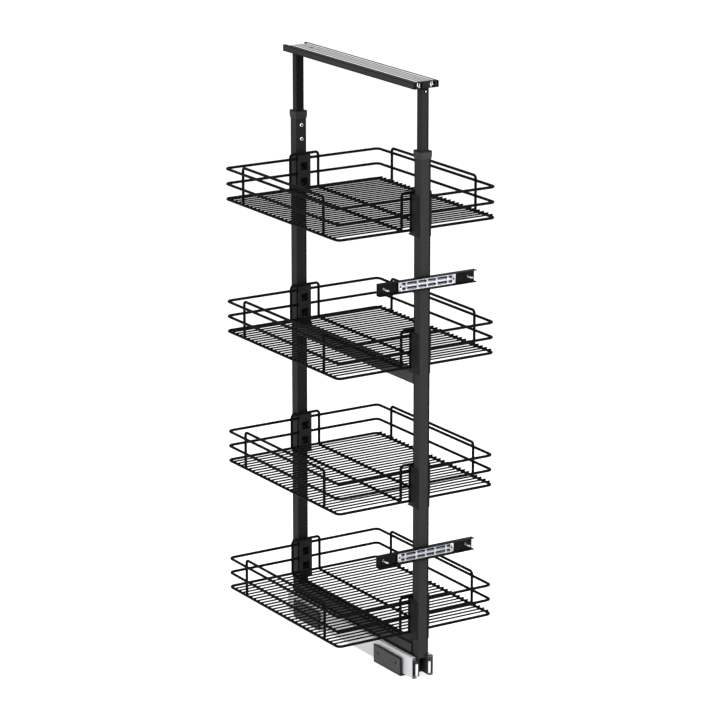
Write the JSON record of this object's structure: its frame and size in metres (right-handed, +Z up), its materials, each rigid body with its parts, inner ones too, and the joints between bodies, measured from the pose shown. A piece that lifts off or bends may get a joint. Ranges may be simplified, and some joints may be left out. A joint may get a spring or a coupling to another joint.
{
  "type": "pull out larder unit",
  "caption": "Tall pull out larder frame on ball bearing slides, with hanging wire baskets, door brackets and a telescopic top guide.",
  "frame": {"origin": "middle of the footprint, on the underside of the floor brackets", "axes": "+X to the right seen from the front, +Y to the back of the cabinet, +Z up; the door side faces -Y"},
  "size_m": [0.386, 0.5342, 1.2712],
  "materials": {
    "frame_coat": "anthracite powder coat, satin",
    "tube_coat": "anthracite powder coat, satin",
    "channel_coat": "anthracite powder coat, satin",
    "bracket_coat": "grey powder coat, satin",
    "bracket_black": "black powder coat, satin",
    "wire_coat": "black powder coat, semi-gloss",
    "black_plastic": "fine-grained moulded plastic",
    "collar_plastic": "dark grey moulded plastic",
    "slide_steel": "bright zinc plate",
    "cage_steel": "plain steel",
    "plate_zinc": "bright zinc plate",
    "zinc_screw": "zinc plate",
    "black_screw": "black oxide"
  },
  "bodies": {
    "floor_mount": {"floor_bracket_front": "bracket_coat", "floor_bracket_rear": "bracket_coat", "floor_bracket_screws": "black_screw", "left_slide_outer": "slide_steel", "right_slide_outer": "slide_steel"},
    "left_middle": {"left_slide_middle": "slide_steel"},
    "right_middle": {"right_slide_middle": "slide_steel"},
    "left_outer_cage": {"left_outer_ball_cage": "cage_steel"},
    "left_inner_cage": {"left_inner_ball_cage": "cage_steel"},
    "right_outer_cage": {"right_outer_ball_cage": "cage_steel"},
    "right_inner_cage": {"right_inner_ball_cage": "cage_steel"},
    "frame": {"left_slide_inner": "slide_steel", "right_slide_inner": "slide_steel", "carriage": "frame_coat", "carriage_screws": "zinc_screw", "lower_rail": "frame_coat", "middle_rail": "frame_coat", "front_upright": "frame_coat", "rear_upright": "frame_coat", "front_collar": "collar_plastic", "rear_collar": "collar_plastic", "height_screws": "zinc_screw", "front_holder_1": "black_plastic", "front_holder_2": "black_plastic", "front_holder_3": "black_plastic", "front_holder_4": "black_plastic", "rear_holder_1": "black_plastic", "rear_holder_2": "black_plastic", "rear_holder_3": "black_plastic", "rear_holder_4": "black_plastic", "holder_screws": "black_screw", "door_bracket_screws": "zinc_screw"},
    "top_extension": {"front_inner_tube": "tube_coat", "rear_inner_tube": "tube_coat", "top_channel": "channel_coat", "front_head_bracket": "black_plastic", "rear_head_bracket": "black_plastic", "head_screws": "zinc_screw", "top_slide_inner": "slide_steel", "top_slide_screws": "zinc_screw", "top_bumper": "black_plastic"},
    "top_fixed": {"top_slide_outer": "slide_steel"},
    "top_middle": {"top_slide_middle": "slide_steel"},
    "top_outer_cage": {"top_outer_ball_cage": "cage_steel"},
    "top_inner_cage": {"top_inner_ball_cage": "cage_steel"},
    "basket_1": {"basket_1_rings": "wire_coat", "basket_1_grid": "wire_coat"},
    "basket_2": {"basket_2_rings": "wire_coat", "basket_2_grid": "wire_coat"},
    "basket_3": {"basket_3_rings": "wire_coat", "basket_3_grid": "wire_coat"},
    "basket_4": {"basket_4_rings": "wire_coat", "basket_4_grid": "wire_coat"},
    "upper_bracket": {"upper_door_bracket": "bracket_black", "upper_adjuster_plate": "plate_zinc", "upper_door_screws": "zinc_screw"},
    "lower_bracket": {"lower_door_bracket": "bracket_black", "lower_adjuster_plate": "plate_zinc", "lower_door_screws": "zinc_screw"}
  },
  "joints": [
    {"name": "pull_out", "type": "slide", "parent": "floor_mount", "child": "frame", "axis": [0, -1, 0], "range_m": [0, 0.48]},
    {"name": "left_middle_run", "type": "slide", "parent": "floor_mount", "child": "left_middle", "axis": [0, -1, 0], "range_m": [0, 0.24]},
    {"name": "left_outer_cage_run", "type": "slide", "parent": "floor_mount", "child": "left_outer_cage", "axis": [0, -1, 0], "range_m": [0, 0.12]},
    {"name": "left_inner_cage_run", "type": "slide", "parent": "floor_mount", "child": "left_inner_cage", "axis": [0, -1, 0], "range_m": [0, 0.36]},
    {"name": "right_middle_run", "type": "slide", "parent": "floor_mount", "child": "right_middle", "axis": [0, -1, 0], "range_m": [0, 0.24]},
    {"name": "right_outer_cage_run", "type": "slide", "parent": "floor_mount", "child": "right_outer_cage", "axis": [0, -1, 0], "range_m": [0, 0.12]},
    {"name": "right_inner_cage_run", "type": "slide", "parent": "floor_mount", "child": "right_inner_cage", "axis": [0, -1, 0], "range_m": [0, 0.36]},
    {"name": "top_height", "type": "slide", "parent": "frame", "child": "top_extension", "axis": [0, 0, 1], "range_m": [-0.1, 0.15]},
    {"name": "top_fixed_run", "type": "slide", "parent": "top_extension", "child": "top_fixed", "axis": [0, 1, 0], "range_m": [0, 0.48]},
    {"name": "top_middle_run", "type": "slide", "parent": "top_extension", "child": "top_middle", "axis": [0, 1, 0], "range_m": [0, 0.24]},
    {"name": "top_outer_cage_run", "type": "slide", "parent": "top_extension", "child": "top_outer_cage", "axis": [0, 1, 0], "range_m": [0, 0.36]},
    {"name": "top_inner_cage_run", "type": "slide", "parent": "top_extension", "child": "top_inner_cage", "axis": [0, 1, 0], "range_m": [0, 0.12]},
    {"name": "basket_1_lift", "type": "slide", "parent": "frame", "child": "basket_1", "axis": [0, 0, 1], "range_m": [0, 0.085]},
    {"name": "basket_2_lift", "type": "slide", "parent": "frame", "child": "basket_2", "axis": [0, 0, 1], "range_m": [0, 0.085]},
    {"name": "basket_3_lift", "type": "slide", "parent": "frame", "child": "basket_3", "axis": [0, 0, 1], "range_m": [0, 0.085]},
    {"name": "basket_4_lift", "type": "slide", "parent": "frame", "child": "basket_4", "axis": [0, 0, 1], "range_m": [0, 0.085]},
    {"name": "upper_bracket_shift", "type": "slide", "parent": "frame", "child": "upper_bracket", "axis": [1, 0, 0], "range_m": [-0.004, 0.004]},
    {"name": "lower_bracket_shift", "type": "slide", "parent": "frame", "child": "lower_bracket", "axis": [1, 0, 0], "range_m": [-0.004, 0.004]}
  ],
  "couplings": [
    {"joint": "left_middle_run", "follows": "pull_out", "ratio": 0.5},
    {"joint": "left_outer_cage_run", "follows": "pull_out", "ratio": 0.25},
    {"joint": "left_inner_cage_run", "follows": "pull_out", "ratio": 0.75},
    {"joint": "right_middle_run", "follows": "pull_out", "ratio": 0.5},
    {"joint": "right_outer_cage_run", "follows": "pull_out", "ratio": 0.25},
    {"joint": "right_inner_cage_run", "follows": "pull_out", "ratio": 0.75},
    {"joint": "top_fixed_run", "follows": "pull_out", "ratio": 1},
    {"joint": "top_middle_run", "follows": "pull_out", "ratio": 0.5},
    {"joint": "top_outer_cage_run", "follows": "pull_out", "ratio": 0.75},
    {"joint": "top_inner_cage_run", "follows": "pull_out", "ratio": 0.25}
  ]
}
